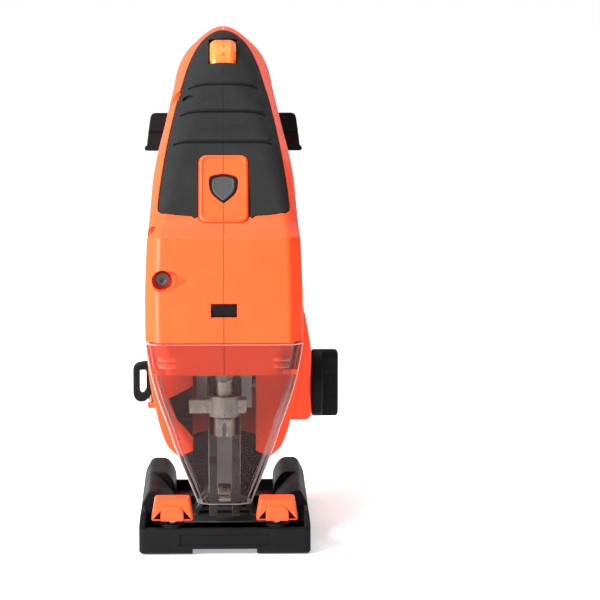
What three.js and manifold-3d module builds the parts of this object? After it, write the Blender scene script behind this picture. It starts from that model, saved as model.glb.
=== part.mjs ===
// A cordless jigsaw, in millimetres, +Z up, standing on the sole of its shoe.
// The origin is the centre of the sole. The front of the tool faces -Y, and +X is the user's left.
import * as THREE from 'three';
import { mergeVertices } from 'three/addons/utils/BufferGeometryUtils.js';
import Module from 'manifold-3d';

const wasm = await Module();
wasm.setup();

// Driving dimensions
const GAP = 0.3; // clearance between neighbouring pieces
const WALL = 2.5; // housing wall
const SHOE_HALF = 36;
const SHOE_FRONT = -52;
const SHOE_REAR = 60;
const BODY_HALF = 33.2;
const BARREL = { radius: 31, z: 84, rear: 111 };
const STROKE_CRANK = 9; // half of the blade's stroke
const PLUNGER_Y = -17.5;
const PINION_TEETH = 9;
const GEAR_TEETH = 40;
const GEAR_MODULE = 0.95;
const GEAR_CENTRE = BARREL.z + ((PINION_TEETH + GEAR_TEETH) * GEAR_MODULE) / 2 + 0.15;
const KNOB_X = 22;
const CLAMP_Y = -45;
const SELECTOR = { y: 3, z: 62.8, radius: 14.5, from: 37.7, to: 49.2 };
const BEVEL_RADIUS = 14.1; // arch of the shoe, about the sole's centre line
const BEVEL_SCALE = 37.8; // round plate that stands behind the arch
const SHOE_SWING = 38.2; // what the tilting shoe needs free about the sole's centre line
const PACK = { half: 36.4, length: 92, depth: 17.6, tilt: -6 };
const DIAL = { y: 70.4, z: 191, radius: 15, half: 5.8 };

const COLOURS = {
  orange: [0xf4582a, 0.42, 0], dialOrange: [0xff820a, 0.4, 0], rubber: [0x2c2c2e, 0.85, 0],
  black: [0x202124, 0.6, 0], clear: [0xe6ddd8, 0.1, 0], steel: [0x9a958c, 0.35, 0.9],
  darkSteel: [0x4a4845, 0.45, 0.8], aluminium: [0xb4b4b2, 0.45, 0.8], bronze: [0xa87838, 0.4, 0.9],
  board: [0x1d6b3a, 0.6, 0], cell: [0x2f6fae, 0.5, 0], copper: [0xb0653a, 0.5, 0.6],
};

const jigsaw = new THREE.Group();

// ---- solids: closed geometries that can be joined and cut ----

function asSolid(geometry) {
  const plain = geometry.clone();
  plain.deleteAttribute('normal');
  plain.deleteAttribute('uv');
  const merged = mergeVertices(plain, 1e-4);
  const vertProperties = new Float32Array(merged.attributes.position.array);
  const triVerts = new Uint32Array(merged.index.array);
  if (signedVolume(vertProperties, triVerts) < 0) turnOver(triVerts);
  return new wasm.Manifold(new wasm.Mesh({ numProp: 3, vertProperties, triVerts }));
}

function signedVolume(points, triangles) {
  const at = (i) => new THREE.Vector3().fromArray(points, 3 * i);
  let sum = 0;
  for (let i = 0; i < triangles.length; i += 3) {
    const cross = at(triangles[i + 1]).cross(at(triangles[i + 2]));
    sum += at(triangles[i]).dot(cross) / 6;
  }
  return sum;
}

function turnOver(triangles) {
  for (let i = 0; i < triangles.length; i += 3) {
    [triangles[i + 1], triangles[i + 2]] = [triangles[i + 2], triangles[i + 1]];
  }
}

function asGeometry(solid) {
  const mesh = solid.getMesh();
  const geometry = new THREE.BufferGeometry();
  geometry.setAttribute('position', new THREE.BufferAttribute(mesh.vertProperties, 3));
  geometry.setIndex(new THREE.BufferAttribute(mesh.triVerts, 1));
  geometry.computeVertexNormals();
  return geometry;
}

function joined(...solids) {
  return solids.reduce((whole, next) => whole.add(next));
}

function cut(solid, ...tools) {
  return tools.reduce((rest, tool) => rest.subtract(tool), solid);
}

function add(name, solid, colour, group = jigsaw) {
  const [color, roughness, metalness] = COLOURS[colour];
  const material = new THREE.MeshStandardMaterial({ color, roughness, metalness });
  const mesh = new THREE.Mesh(asGeometry(solid), material);
  mesh.name = name;
  group.add(mesh);
}

// ---- shapes ----

function block(x, y, z) {
  const geometry = new THREE.BoxGeometry(x[1] - x[0], y[1] - y[0], z[1] - z[0]);
  geometry.translate((x[0] + x[1]) / 2, (y[0] + y[1]) / 2, (z[0] + z[1]) / 2);
  return asSolid(geometry);
}

// A round bar along an axis; centre holds its other two coordinates in order.
function bar(axis, centre, radius, from, to, sides = 24) {
  const geometry = new THREE.CylinderGeometry(radius, radius, to - from, sides);
  return asSolid(alongAxis(geometry.translate(0, (from + to) / 2, 0), axis, centre));
}

// A turned piece: the profile lists [radius, distance along the axis] and closes on itself.
function turned(axis, centre, profile, sides = 28) {
  const points = profile.map(([radius, along]) => new THREE.Vector2(radius, along));
  if (profile[0][0] > 0) points.push(points[0].clone());
  return asSolid(alongAxis(new THREE.LatheGeometry(points, sides), axis, centre));
}

function ringProfile(inner, outer, from, to) {
  return [[inner, from], [outer, from], [outer, to], [inner, to]];
}

function alongAxis(geometry, axis, [a, b]) {
  if (axis === 'x') return geometry.rotateZ(-Math.PI / 2).translate(0, a, b);
  if (axis === 'z') return geometry.rotateX(Math.PI / 2).translate(a, b, 0);
  return geometry.translate(a, 0, b);
}

function outline(points) {
  return new THREE.Shape(points.map(([u, v]) => new THREE.Vector2(u, v)));
}

function roundedRectangle(halfWidth, halfHeight, radius) {
  const shape = new THREE.Shape();
  shape.moveTo(-halfWidth + radius, -halfHeight);
  shape.absarc(halfWidth - radius, -halfHeight + radius, radius, -Math.PI / 2, 0);
  shape.absarc(halfWidth - radius, halfHeight - radius, radius, 0, Math.PI / 2);
  shape.absarc(-halfWidth + radius, halfHeight - radius, radius, Math.PI / 2, Math.PI);
  shape.absarc(-halfWidth + radius, -halfHeight + radius, radius, Math.PI, 1.5 * Math.PI);
  return shape;
}

// Extrusions of a side view (y, z), a front view (x, z) or a plan (x, y)
function extrudedX(shape, from, to) {
  const turn = new THREE.Matrix4().makeBasis(
    new THREE.Vector3(0, 1, 0), new THREE.Vector3(0, 0, 1), new THREE.Vector3(1, 0, 0));
  return extruded(shape, to - from, turn.setPosition(from, 0, 0));
}

function extrudedY(shape, from, to) {
  const turn = new THREE.Matrix4().makeBasis(
    new THREE.Vector3(1, 0, 0), new THREE.Vector3(0, 0, 1), new THREE.Vector3(0, -1, 0));
  return extruded(shape, to - from, turn.setPosition(0, to, 0));
}

function extrudedZ(shape, from, to) {
  return extruded(shape, to - from, new THREE.Matrix4().makeTranslation(0, 0, from));
}

function extruded(shape, depth, placement) {
  const geometry = new THREE.ExtrudeGeometry(shape, { depth, bevelEnabled: false, curveSegments: 5 });
  return asSolid(geometry.applyMatrix4(placement));
}

// A skin over rings of points, each ring with the same number of points.
function lofted(rings) {
  const count = rings[0].length;
  const middle = (ring) => ring.reduce((sum, p) => sum.add(p), new THREE.Vector3()).divideScalar(count);
  const points = [...rings.flat(), middle(rings[0]), middle(rings.at(-1))];
  const triangles = [];
  for (let i = 0; i < count; i += 1) {
    const next = (i + 1) % count;
    for (let r = 0; r + 1 < rings.length; r += 1) {
      const [a, b] = [r * count, (r + 1) * count];
      triangles.push(a + i, a + next, b + next, a + i, b + next, b + i);
    }
    const last = (rings.length - 1) * count;
    triangles.push(points.length - 2, next, i, points.length - 1, last + i, last + next);
  }
  const geometry = new THREE.BufferGeometry();
  const flat = points.flatMap((p) => p.toArray());
  geometry.setAttribute('position', new THREE.Float32BufferAttribute(flat, 3));
  geometry.setIndex(triangles);
  return asSolid(geometry);
}

// One station of a lofted casing: its front or top point, its rear or bottom point, both as [y, z],
// its half-width, and how square its section is (2 is an ellipse).
function station(outer, inner, half, square) {
  return { outer: new THREE.Vector2(...outer), inner: new THREE.Vector2(...inner), half, square };
}

function stationRing({ outer, inner, half, square }, count) {
  const centre = outer.clone().add(inner).divideScalar(2);
  const reach = outer.clone().sub(inner).divideScalar(2);
  const rounded = (value) => Math.sign(value) * Math.abs(value) ** (2 / square);
  return Array.from({ length: count }, (_, i) => {
    const angle = (2 * Math.PI * (i + 0.5)) / count;
    const along = rounded(Math.sin(angle));
    const [y, z] = centre.clone().addScaledVector(reach, along).toArray();
    return new THREE.Vector3(half * rounded(Math.cos(angle)), y, z);
  });
}

function casing(stations, count = 24) {
  return lofted(stations.map((s) => stationRing(s, count)));
}

function shrunk(stations, wall) {
  return stations.map(({ outer, inner, half, square }) => {
    const step = outer.clone().sub(inner).setLength(wall);
    return { outer: outer.clone().sub(step), inner: inner.clone().add(step), half: half - wall, square };
  });
}

// ---- housing ----

const NOSE = [
  station([-37, 37], [28, 37], 16.1, 4),
  station([-37.3, 50], [29, 50], 20.6, 4),
  station([-37.8, 63], [30, 63], 25.2, 5),
  station([-38.2, 87], [30, 87], 29.9, 5),
  station([-40, 87.6], [29, 87.6], BODY_HALF, 5),
  station([-32.8, 109], [22, 109], 33.1, 5),
  station([-25.5, 130], [16, 119], 32.6, 5),
];
const HANDLE = [
  station([-14, 137], [14, 124], 31.9, 4.5),
  station([6, 164], [20, 137], 30.2, 3.5),
  station([37, 186], [43, 150], 26, 3),
  station([65, 202], [66, 161], 22.9, 2.5),
  station([85, 210.5], [83, 168], 21.6, 2.1),
  station([107, 208], [90, 162], 20.5, 2.1),
  station([112.5, 178], [88, 150], 19, 3),
  station([111.5, 150], [84, 133], 18.5, 3),
  station([110, 125], [81, 112], 18.5, 3),
  station([106, 100], [79, 98], 18.5, 3),
];
const FOOT = [
  station([92, 204], [92, 186], 15, 2.4),
  station([113.6, 203.5], [113.6, 168], 21.5, 2.4),
  station([118, 202], [118, 160], 22.4, 2.6),
  station([140, 195], [140, 158], 23, 2.8),
  station([183, 185], [183, 154], 23.5, 3),
  station([185, 183.5], [185, 155], 22, 3),
];

const packFrame = new THREE.Matrix4()
  .makeRotationX(THREE.MathUtils.degToRad(PACK.tilt))
  .setPosition(0, 114, 169.2);

function inPackFrame(solid) {
  return asSolid(asGeometry(solid).applyMatrix4(packFrame));
}

// The slope of the grip below the thumb, where the lock-off pad lies: local +Z points out of it.
const slopeFrame = new THREE.Matrix4().makeRotationX(Math.atan2(27, 20)).setPosition(0, -5.7, 148.2);

function onSlope(solid) {
  return asSolid(asGeometry(solid).applyMatrix4(slopeFrame));
}

const triggerFrame = new THREE.Matrix4().makeRotationX(Math.atan2(13, 23)).setPosition(0, 31.5, 143.5);

function atTrigger(solid) {
  return asSolid(asGeometry(solid).applyMatrix4(triggerFrame));
}

function outerBody() {
  const barrel = bar('y', [0, BARREL.z], BARREL.radius, 0, BARREL.rear, 36);
  return joined(casing([...NOSE, ...HANDLE]), barrel, casing(FOOT, 20));
}

function innerBody() {
  const lower = { ...NOSE[0], outer: new THREE.Vector2(-37, 30), inner: new THREE.Vector2(28, 30) };
  const sweep = shrunk([lower, ...NOSE, ...HANDLE], WALL);
  const barrel = bar('y', [0, BARREL.z], BARREL.radius - WALL, 5, BARREL.rear - WALL, 36);
  return joined(casing(sweep, 20), barrel);
}

const outer = outerBody();
const frontOutline = casing([...NOSE, ...HANDLE.slice(0, 6)]);

// The rubber grip is a skin over the front and top of the handle. Its border lies in a plane that
// leans back with the handle, so it is drawn as (x, distance up that plane).
const panelPlane = new THREE.Matrix4().makeRotationX(THREE.MathUtils.degToRad(40.5));

function gripLayer(top, bottom, margin) {
  const sunk = (depth) => frontOutline.translate([0, 0.85 * depth, -depth]);
  const skin = cut(sunk(top), sunk(bottom));
  const border = new THREE.Shape();
  border.moveTo(-27.8 - margin, 80 - margin);
  border.lineTo(27.8 + margin, 80 - margin);
  border.quadraticCurveTo(24.5 + margin, 125, 17.9 + margin, 161.7);
  border.quadraticCurveTo(13 + margin, 196, 0, 202 + margin);
  border.quadraticCurveTo(-13 - margin, 196, -17.9 - margin, 161.7);
  border.quadraticCurveTo(-24.5 - margin, 125, -27.8 - margin, 80 - margin);
  const reach = panelPlane.clone().multiply(new THREE.Matrix4().makeTranslation(0, 0, 75));
  return skin.intersect(extruded(border, 70, reach));
}

function shield(width, height) {
  const shape = new THREE.Shape();
  shape.moveTo(0, -height / 2);
  shape.quadraticCurveTo(width / 2, -height / 4, width / 2, height / 3);
  shape.quadraticCurveTo(width / 4, height / 2.1, 0, height / 2);
  shape.quadraticCurveTo(-width / 4, height / 2.1, -width / 2, height / 3);
  shape.quadraticCurveTo(-width / 2, -height / 4, 0, -height / 2);
  return shape;
}

function dialWindow(half) {
  return bar('x', [DIAL.y, DIAL.z], DIAL.radius + 1, -half, half, 28);
}

// Casing screws: [y, z] of each axis. They enter from the -X half.
const SCREWS = [[-14.9, 130.2], [11.5, 131.5], [47, 182], [97, 186], [97, 128], [104, 84]];
const SCREW = { head: 3, shank: 1.5, boss: 4.4, headX: -13 };

function screwBoss([y, z]) {
  return bar('x', [y, z], SCREW.boss, -26, 26, 16).intersect(outer);
}

function screwBore([y, z]) {
  const well = bar('x', [y, z], SCREW.head + GAP, -40, SCREW.headX, 16);
  return joined(well, bar('x', [y, z], SCREW.shank + GAP, -15, 12, 12));
}

function screw([y, z]) {
  const head = bar('x', [y, z], SCREW.head, SCREW.headX - 2.6, SCREW.headX - GAP, 12);
  return joined(head, bar('x', [y, z], SCREW.shank, SCREW.headX - 1, 11, 8));
}

// The lower housing is wide only behind the dust cover: one flank at each side of the blade's guide.
const WINDOW = 13.5; // half width of the opening between the flanks, for the plunger and its collar
const FLANKS = [[33.1, 87.6], [32.6, 70], [30.5, 58], [27.5, 45], [24.7, 37.5], [22, 35], [19.5, 32.8]];

function flanks(margin, front, rear) {
  const side = FLANKS.map(([x, z]) => [x - margin, z]);
  const low = side.at(-1)[0];
  const bottom = margin > 0 ? [[low, 30]] : [];
  const points = [...side, ...bottom];
  return extrudedY(outline([...points, ...mirrored(points)]), front, rear);
}

// A blind well in the front face, for the screw that holds the gear case.
const FRONT_WELL = { x: -25.8, z: 112.4, radius: 4.2, floor: -24.5 };

function frontWell(radius, rear) {
  return bar('y', [FRONT_WELL.x, FRONT_WELL.z], radius, -45, rear);
}

function chamberRoof() {
  const plate = block([-32, 32], [-36, 8], [73.4, 75.6]).intersect(outer);
  return cut(plate, bar('z', [0, PLUNGER_Y], 9, 70, 78), block([-13, 13], [-4, 24.4], [72, 77]));
}

function motorRibs() {
  const rib = (y) => turned('y', [0, BARREL.z], ringProfile(18.9, BARREL.radius - 1, y, y + 2));
  return joined(rib(32), rib(66));
}

function selectorPod() {
  const section = outline([[20, 48.5], [37.4, 48.5], [37.4, 80], [34.6, 95], [29, 96], [24, 76]]);
  return extrudedY(section, -9.5, 15.5);
}

// The release lever turns in a pocket of the right flank, on a pin between two lugs.
function leverMount() {
  const lug = (from, to) => block([-33.1, -24], [-5.2, -0.8], [from, to]);
  return joined(lug(75, 78), lug(53.2, 55.7), block([-29.2, -26.6], [-8, 2], [54, 78]));
}

function leverPocket() {
  return block([-45, -28.1], [-6.4, 0.4], [55.7, 75]);
}

function vents() {
  const slots = [];
  for (let i = 0; i < 5; i += 1) {
    slots.push(block([-40, 40], [76 + 6 * i, 79 + 6 * i], [78, 98]));
  }
  return slots;
}

function housing() {
  const chamber = (rear) => block([-45, 45], [-50, rear], [25, 73.4]);
  const swing = bar('y', [0, 0], SHOE_SWING, -12, 40, 64);
  const lowered = joined(cut(outer, chamber(-11.5)), flanks(0, -11.5, 28));
  const solid = joined(cut(lowered, swing), selectorPod(), leverMount());
  const window = block([-WINDOW, WINDOW], [-12, 0], [30, 73.4]);
  const hollow = joined(cut(innerBody(), chamber(-9)), flanks(WALL, -9, 25.5), window);
  const inside = [chamberRoof(), motorRibs(), ...SCREWS.map(screwBoss), leverMount(),
    frontWell(6, FRONT_WELL.floor + 2).intersect(outer)];
  return cut(
    joined(cut(solid, cut(hollow, selectorPod())), ...inside),
    leverPocket(),
    frontWell(FRONT_WELL.radius, FRONT_WELL.floor),
    gripLayer(-1, 1.75, GAP),
    onSlope(extrudedZ(roundedRectangle(10.9, 16.9, 4.3), -1.5, 6)),
    onSlope(extrudedZ(shield(12.4, 15.4), -12, 2)),
    dialWindow(DIAL.half + 0.6),
    atTrigger(block([-7.2, 7.2], [-13.6, 13.6], [-12, 16])),
    inPackFrame(block([-19.6, 19.6], [-0.6, 110], [-0.4, 10.2])),
    inPackFrame(block([-40, 40], [-0.6, 110], [-30, 0.3])),
    block([-5.5, 5.5], [-42, -26], [97.7, 103.3]),
    bar('x', [SELECTOR.y, SELECTOR.z], 3.4, 10, 45),
    bar('z', [-31.6, -3], 1.5, 50, 80, 12),
    ...vents(),
    ...SCREWS.map(screwBore),
  );
}

function buildHousing() {
  const whole = housing();
  const lips = (side) => inPackFrame(side > 0
    ? block([15.5, 21], [6, 68], [0.6, 3.4])
    : block([-21, -15.5], [6, 68], [0.6, 3.4]));
  const half = (side) => {
    const across = side > 0 ? [0.15, 60] : [-60, -0.15];
    const keep = block(across, [-60, 230], [0, 230]);
    return largest(joined(whole, lips(side)).intersect(keep));
  };
  add('housing_right', half(-1), 'orange');
  add('housing_left', half(1), 'orange');
  SCREWS.forEach((place, i) => add(`housing_screw_${i + 1}`, screw(place), 'darkSteel'));
}

function largest(solid) {
  const pieces = solid.decompose();
  return pieces.reduce((best, next) => (next.volume() > best.volume() ? next : best));
}

function buildGrip() {
  const openings = [
    onSlope(extrudedZ(roundedRectangle(10.9, 16.9, 4.3), -6, 6)),
    dialWindow(DIAL.half + 0.6),
    ...SCREWS.map(screwBore),
  ];
  const skin = cut(gripLayer(0, 1.4, 0), ...openings);
  const half = (side) => (side > 0 ? block([0.15, 60], [-60, 230], [100, 230])
    : block([-60, -0.15], [-60, 230], [100, 230]));
  add('grip_right', largest(skin.intersect(half(-1))), 'rubber');
  add('grip_left', largest(skin.intersect(half(1))), 'rubber');
}

function buildControls() {
  const pad = cut(extrudedZ(roundedRectangle(10.6, 16.6, 4), -1.2, 1.2), extrudedZ(shield(12, 15), -5, 5));
  add('lock_off_pad', onSlope(pad), 'orange');
  add('lock_off_button', onSlope(extrudedZ(shield(11.2, 14.2), -4, 1)), 'black');
  const wheel = turned('x', [DIAL.y, DIAL.z], ringProfile(2.4, DIAL.radius, -DIAL.half, DIAL.half), 32);
  add('speed_dial', wheel, 'dialOrange');
  add('speed_dial_axle', bar('x', [DIAL.y, DIAL.z], 2, -8, 8, 16), 'steel');
  add('light_switch', block([-5.1, 5.1], [-33, -28], [98, 103]), 'black');
  add('work_light', turned('z', [0, -31], [[0, 69.4], [3.6, 69.4], [3.6, 73], [0, 73]], 20), 'clear');
}

function buildTrigger() {
  const side = new THREE.Shape();
  side.moveTo(-13, 10);
  side.lineTo(-13, -5);
  side.quadraticCurveTo(-8, -9.5, -3, -7);
  side.quadraticCurveTo(5, -3.5, 12, -9.5);
  side.lineTo(13, -8);
  side.lineTo(13, 10);
  add('trigger', atTrigger(extrudedX(side, -6.6, 6.6)), 'black');
  add('switch_body', atTrigger(block([-8.5, 8.5], [-9, 12], [17.4, 25])), 'black');
  add('control_board', block([-0.8, 0.8], [92, 104], [136, 160]), 'board');
}

// ---- drive ----

function gearOutline(teeth, phase) {
  const pitch = (teeth * GEAR_MODULE) / 2;
  const step = (2 * Math.PI) / teeth;
  const corners = [[-0.3, -1.15], [-0.1, 0.9], [0.1, 0.9], [0.3, -1.15]];
  const points = [];
  for (let tooth = 0; tooth < teeth; tooth += 1) {
    for (const [turn, height] of corners) {
      const angle = phase + (tooth + turn) * step;
      const radius = pitch + height * GEAR_MODULE;
      points.push([radius * Math.cos(angle), radius * Math.sin(angle)]);
    }
  }
  return outline(points);
}

function buildDrive() {
  const gear = extrudedY(gearOutline(GEAR_TEETH, -Math.PI / 2), -7, -1).translate([0, 0, GEAR_CENTRE]);
  const crank = bar('y', [0, GEAR_CENTRE + STROKE_CRANK], 2.5, -10.4, -5, 16);
  const axleHole = bar('y', [0, GEAR_CENTRE], 4.3, -20, 20);
  add('drive_gear', joined(cut(gear, axleHole), crank), 'steel');
  add('gear_axle', bar('y', [0, GEAR_CENTRE], 4, -7.4, 6.3), 'steel');
  const pinion = extrudedY(gearOutline(PINION_TEETH, Math.PI / 2 + Math.PI / PINION_TEETH), -7, -1);
  const bore = bar('y', [0, 0], 2.3, -20, 20, 16);
  add('pinion', cut(pinion, bore).translate([0, 0, BARREL.z]), 'steel');
  add('motor_shaft', bar('y', [0, BARREL.z], 2, -8, 84, 16), 'steel');
  add('motor_can', turned('y', [0, BARREL.z], [[5.3, 20], [18.5, 20], [18.5, 80], [5.3, 80], [5.3, 78],
    [16.5, 78], [16.5, 22], [5.3, 22]]), 'darkSteel');
  add('armature', turned('y', [0, BARREL.z], ringProfile(2.3, 14.5, 28, 72)), 'copper');
  const bearing = (y) => turned('y', [0, BARREL.z], ringProfile(2.3, 5, y, y + 4), 20);
  add('motor_bearing_front', bearing(19), 'steel');
  add('motor_bearing_rear', bearing(77), 'steel');
  add('fan', fan(), 'black');
  const plateHoles = [bar('y', [0, GEAR_CENTRE], 4.3, 0, 20), bar('y', [0, BARREL.z], 3.2, 0, 20)];
  add('gear_plate', cut(block([-23, 23], [2.6, 6.4], [77, 130]), ...plateHoles), 'aluminium');
  add('gear_case', gearCase(), 'aluminium');
}

function fan() {
  const blades = [];
  for (let i = 0; i < 9; i += 1) {
    const turn = (360 * i) / 9;
    blades.push(block([-0.8, 0.8], [11, 16], [5, 19]).rotate([0, turn, 0]));
  }
  const wheel = joined(turned('y', [0, 0], ringProfile(2.3, 20, 9.5, 11)), ...blades);
  return joined(wheel, turned('y', [0, 0], ringProfile(2.3, 6.5, 10, 16), 20)).translate([0, 0, BARREL.z]);
}

function gearCase() {
  const body = joined(block([-23, 23], [-10, 2.3], [77, 130]), block([-18, 18], [-23.5, -10], [77, 125]));
  return cut(
    body,
    block([-20.8, 20.8], [-9.7, 5], [78.5, 128]),
    block([-15.6, 15.6], [-21.7, -9], [90.5, 123.2]),
    bar('z', [0, PLUNGER_Y], 5.5, 70, 95),
    bar('z', [0, PLUNGER_Y], 3.9, 120, 130),
  );
}

function buildPlunger() {
  const pinHeight = GEAR_CENTRE + STROKE_CRANK;
  const yoke = cut(
    block([-14, 14], [-15.5, -11], [pinHeight - 5.5, pinHeight + 5.5]),
    block([-11.8, 11.8], [-13.6, -10], [pinHeight - 2.8, pinHeight + 2.8]),
  );
  add('plunger', joined(bar('z', [0, PLUNGER_Y], 3.5, 52, pinHeight + 5.5), yoke), 'steel');
  add('plunger_bush', turned('z', [0, PLUNGER_Y], ringProfile(3.8, 5.2, 77.3, 90)), 'bronze');
  const hub = joined(
    turned('z', [0, PLUNGER_Y], [[0, 44], [4.6, 44], [4.6, 51.7], [0, 51.7]]),
    block([-3, 3], [-22.6, -17.5], [44, 51.7]),
  );
  const slot = block([-0.8, 0.8], [-24, -12], [40, 50]);
  add('blade_holder', cut(hub, slot), 'steel');
  const wing = (from, to) => block([from, to], [-21.5, -14], [54, 60]);
  const collar = joined(bar('z', [0, PLUNGER_Y], 7, 52.4, 61.4), wing(-15, -5), wing(5, 9.5));
  add('clamp_collar', cut(collar, bar('z', [0, PLUNGER_Y], 3.8, 40, 70)), 'steel');
}

// The forked guide hangs behind the blade and swings about a pin under the gear case.
function buildGuide() {
  const side = outline([[4, 72], [-1, 70], [-1, 52], [-9, 42], [-9.5, 33],
    [-12.5, 30], [-12.5, 7.5], [-6.6, 7.5], [-5, 38], [5, 50], [8, 68]]);
  const legs = cut(extrudedX(side, -6.6, 6.6), block([-3.2, 3.2], [-20, 20], [5, 60]));
  const holes = [bar('x', [3, 66], 1.9, -20, 20, 16), bar('x', [-9.6, 17], 1.3, -20, 20, 12)];
  add('blade_guide', cut(legs, ...holes), 'darkSteel');
  add('guide_pivot_pin', bar('x', [3, 66], 1.6, -11.8, 11.8, 12), 'steel');
  add('guide_roller', turned('x', [-9.6, 17], ringProfile(1.3, 4, -2.8, 2.8)), 'steel');
  add('roller_pin', bar('x', [-9.6, 17], 1, -6.5, 6.5, 12), 'steel');
}

function buildSelector() {
  const { y, z, radius, from, to } = SELECTOR;
  const disc = bar('x', [y, z], radius, from, to, 32);
  const scoop = (low, high) => block([from + 4, to + 1], [y + low, y + high], [z - 20, z + 20]);
  add('selector_knob', cut(disc, scoop(4.5, 20), scoop(-20, -4.5)), 'black');
  add('selector_shaft', bar('x', [y, z], 3, 12, from - GAP, 16), 'steel');
}

function buildLever() {
  const loop = cut(
    extrudedY(outline([[-39.2, 58.5], [-37.3, 56.1], [-34, 56.1], [-29.8, 61.5], [-29.8, 73.8],
      [-37.3, 73], [-39.2, 71.2]]), -5.5, -0.5),
    extrudedY(outline([[-36.3, 60.2], [-35, 59.3], [-33.5, 61.6], [-33.5, 70.2], [-36.3, 70]]), -8, 3),
    bar('z', [-31.6, -3], 1.5, 50, 80, 12),
  );
  add('loop_lever', loop, 'black');
  add('lever_pin', bar('z', [-31.6, -3], 1.2, 53.4, 77.6, 12), 'steel');
}

// ---- dust cover ----

const COVER = [
  station([-38, 18], [30, 18], 11.3, 5),
  station([-38.6, 41], [30, 41], 20.5, 5),
  station([-38.9, 50], [30, 50], 23.4, 5),
  station([-39.6, 63], [30, 63], 28, 5),
  station([-40, 75], [30, 75], 31.2, 5),
  station([-40.5, 86.7], [30, 86.7], BODY_HALF, 5),
];

function buildCover() {
  const low = { ...COVER[0], outer: new THREE.Vector2(-38, 16), inner: new THREE.Vector2(30, 16) };
  const high = { ...COVER[5], outer: new THREE.Vector2(-40.6, 90), inner: new THREE.Vector2(30, 90) };
  const room = casing(shrunk([low, ...COVER, high], 1.8));
  // The low rear corners slope, so that they clear the clamp knobs when the cover tips.
  const slope = outline([[-32, 10], [-27, 17.5], [-12, 49], [0, 49], [0, 10]]);
  const shell = cut(casing(COVER), room, block([-50, 50], [-12, 60], [0, 100]), extrudedX(slope, -40, 40));
  add('dust_cover', shell, 'clear');
}

// ---- shoe ----

function mirrored(points) {
  return points.map(([x, z]) => [-x, z]).reverse();
}

function bothSides(points, from, to) {
  return joined(extrudedY(outline(points), from, to), extrudedY(outline(mirrored(points)), from, to));
}

function shoeOpenings() {
  return [
    block([-5, 5], [-37, -18], [-5, 6]),
    block([-14, 14], [-20, -5.5], [-5, 6]),
    block([-11, 11], [11, 24], [-5, 6]),
  ];
}

function buildShoe() {
  const front = cut(
    block([-SHOE_HALF, SHOE_HALF], [SHOE_FRONT, -38.2], [0, 10.8]),
    block([-33.2, 33.2], [SHOE_FRONT + 3, -30], [7, 20]),
    block([-13.5, 13.5], [-70, SHOE_FRONT + 9], [-2, 2.2]),
    block([-60, 60], [SHOE_FRONT + 4, -41], [2.8, 5.8]),
  );
  const wall = [[33.1, 0], [SHOE_HALF, 0], [SHOE_HALF, 10], [33.1, 9]];
  const frontHump = [[33.3, 6], [SHOE_HALF, 6], [SHOE_HALF, 12], [35, 18], [33.3, 18]];
  const rearHump = [[33.1, 3.6], [33.1, 1], [SHOE_HALF, 1], [SHOE_HALF, 11.5], [32, 18.5], [25.7, 18.5],
    [21.6, 14], [21.6, 3.6]];
  const rail = [[33.1, 3.6], [33.1, 1], [SHOE_HALF, 1], [SHOE_HALF, 11.5], [32.5, 18.3], [28.5, 17.2],
    [24, 12], [21.6, 8], [21.6, 3.6]];
  const boss = (x) => bar('z', [x, CLAMP_Y], 5, 6, 12, 20);
  const disc = bar('y', [0, 0], BEVEL_SCALE, 27.3, 29.3, 64);
  const side = [[22.4, 3.6], [22.4, 6.5], [13, 7.5], [16.6, 15.7], [20.8, 27.3], [20.8, 40]];
  const scale = disc.intersect(extrudedY(outline([...side, ...mirrored(side)]), 27, 30));
  const sheath = joined(
    scale,
    block([-SHOE_HALF, SHOE_HALF], [-45, SHOE_REAR], [0, 1.2]),
    front,
    bothSides(wall, -40, SHOE_REAR),
    bothSides(frontHump, SHOE_FRONT + 2, -38.2),
    bothSides(rearHump, 26, SHOE_REAR - 1),
    bothSides(rail, -10.5, 27),
    block([-SHOE_HALF, SHOE_HALF], [57.4, SHOE_REAR], [0, 8]),
    boss(KNOB_X),
    boss(-KNOB_X),
  );
  const screwHole = (x) => bar('z', [x, CLAMP_Y], 2.3, 2.8, 30, 16);
  add('shoe_sheath', cut(sheath, ...shoeOpenings(), screwHole(KNOB_X), screwHole(-KNOB_X)), 'black');
  const arch = new THREE.Shape();
  arch.absarc(0, 0, BEVEL_RADIUS, 0.2, Math.PI - 0.2);
  arch.absarc(0, 0, BEVEL_RADIUS - 2, Math.PI - 0.2, 0.2, true);
  const plate = joined(
    block([-32.8, 32.8], [-37.8, 57.1], [1.5, 3.3]),
    extrudedY(arch, 7.5, 27),
  );
  const slot = block([-12.4, 12.4], [14.2, 19.8], [4, 20]);
  add('shoe_plate', cut(plate, ...shoeOpenings(), slot), 'darkSteel');
  const saddle = bar('y', [0, 0], BEVEL_RADIUS + 0.4, 0, 40, 48);
  const bracket = joined(
    block([-7, 7], [9, 24], [8, 60]),
    block([-12, 12], [8, 24], [53, 60]),
    block([-12, -7.3], [-3.5, 8.7], [53, 76.6]),
    block([7.3, 12], [-3.5, 8.7], [53, 76.6]),
  );
  const pinHole = bar('x', [3, 66], 1.9, -20, 20, 16);
  const boltHole = bar('z', [0, 17], 2.8, 0, 32, 16);
  add('base_bracket', cut(bracket, saddle, pinHole, boltHole), 'aluminium');
  const bolt = [[0, 7.5], [4, 7.5], [4, 10.5], [2.5, 10.5], [2.5, 30], [0, 30]];
  add('bevel_bolt', turned('z', [0, 17], bolt), 'steel');
}

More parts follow.
